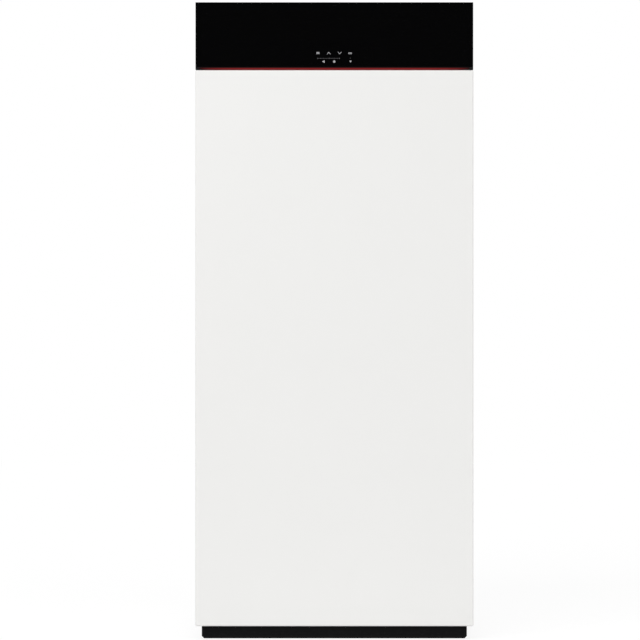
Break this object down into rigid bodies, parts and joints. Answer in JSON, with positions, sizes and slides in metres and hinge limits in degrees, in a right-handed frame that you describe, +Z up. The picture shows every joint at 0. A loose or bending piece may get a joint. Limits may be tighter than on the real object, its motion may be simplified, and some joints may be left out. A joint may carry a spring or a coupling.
{
  "type": "floor standing gas boiler",
  "caption": "Floor standing gas boiler with a hot water cylinder in one tall casing: white panels, a tilting black glass fascia, pipe stubs and a coaxial flue collar on top.",
  "frame": {"origin": "on the floor under the middle of the casing, at the lowest plane of the levelling feet", "axes": "+Z up, -Y out of the front panel, +X to the right of someone who faces the front"},
  "size_m": [0.6, 0.595, 1.4087],
  "materials": {
    "white_paint": "satin powder coat",
    "black_paint": "satin powder coat",
    "galvanised_steel": "galvanised, dull spangle",
    "stainless_steel": "drawn, satin",
    "copper": "drawn copper tube, slightly tarnished",
    "brass": "hot pressed, machined ends",
    "cast_aluminium": "die cast, fine grain",
    "pump_enamel": "dark red dip coat over a casting",
    "black_glass": "polished, black printed behind",
    "red_light_guide": "clear red moulding, lit from its middle",
    "black_plastic": "fine grained moulding",
    "grey_plastic": "fine grained moulding",
    "red_plastic": "smooth moulding",
    "board_green": "lacquered circuit board",
    "grey_foam": "fleece faced foam mat",
    "pale_foam": "rigid foam, moulded skin",
    "vessel_enamel": "gloss paint on pressed steel",
    "white_ceramic": "glazed insulator",
    "sign_print": "screen print on the glass",
    "seal_rubber": "soft black seal"
  },
  "bodies": {
    "casing": {"base_frame": "black_paint", "plinth_front": "black_plastic", "left_side_panel": "white_paint", "right_side_panel": "white_paint", "rear_panel": "white_paint", "top_panel": "white_paint", "cross_rail": "galvanised_steel", "hydraulic_shelf": "galvanised_steel", "boiler_shelf": "galvanised_steel", "control_housing": "grey_plastic", "main_circuit_board": "board_green", "heat_exchanger_shell": "stainless_steel", "heat_exchanger_coil": "stainless_steel", "burner_door": "cast_aluminium", "burner_gauze": "stainless_steel", "ignition_electrode": "white_ceramic", "fan_housing": "cast_aluminium", "fan_motor": "grey_plastic", "gas_valve": "cast_aluminium", "gas_pipe": "galvanised_steel", "flue_duct": "stainless_steel", "flue_collar": "black_plastic", "condensate_trap": "grey_plastic", "condensate_hose": "grey_plastic", "pump_body": "pump_enamel", "pump_motor": "black_plastic", "diverter_body": "brass", "diverter_actuator": "black_plastic", "plate_heat_exchanger": "stainless_steel", "expansion_vessel": "vessel_enamel", "safety_valve_body": "brass", "heating_flow_pipe": "copper", "heating_return_pipe": "copper", "boiler_flow_pipe": "copper", "boiler_return_pipe": "copper", "hot_water_pipe": "copper", "cold_water_pipe": "copper", "cylinder_jacket": "pale_foam", "cylinder_tank": "stainless_steel", "cylinder_flange": "stainless_steel", "magnesium_anode": "cast_aluminium", "cable_gland": "black_plastic"},
    "front_panel": {"front_panel": "white_paint", "front_panel_insulation": "grey_foam"},
    "fascia": {"fascia_carrier": "black_plastic", "fascia_glass": "black_glass", "light_strip": "red_light_guide", "display_module": "black_plastic", "touch_board": "board_green", "hinge_pin_left": "stainless_steel", "hinge_pin_right": "stainless_steel"},
    "foot_front_left": {"levelling_foot_front_left": "grey_plastic"},
    "foot_front_right": {"levelling_foot_front_right": "grey_plastic"},
    "foot_rear_left": {"levelling_foot_rear_left": "grey_plastic"},
    "foot_rear_right": {"levelling_foot_rear_right": "grey_plastic"},
    "fan_rotor": {"fan_impeller": "cast_aluminium"},
    "pump_rotor": {"pump_impeller": "grey_plastic"},
    "diverter_plunger": {"diverter_plunger": "brass"},
    "power_switch": {"power_switch_rocker": "red_plastic"},
    "safety_valve_knob": {"safety_valve_knob": "red_plastic"}
  },
  "joints": [
    {"name": "front_panel_pull", "type": "slide", "parent": "casing", "child": "front_panel", "axis": [0, -1, 0], "range_m": [0, 0.25]},
    {"name": "fascia_tilt", "type": "hinge", "parent": "casing", "child": "fascia", "pos_m": [0, -0.291, 1.2362], "axis": [1, 0, 0], "range_deg": [0, 90]},
    {"name": "foot_front_left_screw", "type": "slide", "parent": "casing", "child": "foot_front_left", "axis": [0, 0, -1], "range_m": [0, 0.02]},
    {"name": "foot_front_right_screw", "type": "slide", "parent": "casing", "child": "foot_front_right", "axis": [0, 0, -1], "range_m": [0, 0.02]},
    {"name": "foot_rear_left_screw", "type": "slide", "parent": "casing", "child": "foot_rear_left", "axis": [0, 0, -1], "range_m": [0, 0.02]},
    {"name": "foot_rear_right_screw", "type": "slide", "parent": "casing", "child": "foot_rear_right", "axis": [0, 0, -1], "range_m": [0, 0.02]},
    {"name": "fan_spin", "type": "hinge", "parent": "casing", "child": "fan_rotor", "pos_m": [0, -0.1586, 1.076], "axis": [0, 1, 0], "continuous": true},
    {"name": "pump_spin", "type": "hinge", "parent": "casing", "child": "pump_rotor", "pos_m": [0.14, -0.163, 0.7703], "axis": [0, 1, 0], "continuous": true},
    {"name": "diverter_lift", "type": "slide", "parent": "casing", "child": "diverter_plunger", "axis": [0, 0, 1], "range_m": [0, 0.006]},
    {"name": "power_switch_rock", "type": "hinge", "parent": "casing", "child": "power_switch", "pos_m": [0.15, -0.26075, 1.2902], "axis": [1, 0, 0], "range_deg": [0, 16]},
    {"name": "safety_valve_twist", "type": "hinge", "parent": "casing", "child": "safety_valve_knob", "pos_m": [0.24, -0.16, 0.7606], "axis": [0, 0, 1], "range_deg": [0, 90]}
  ]
}
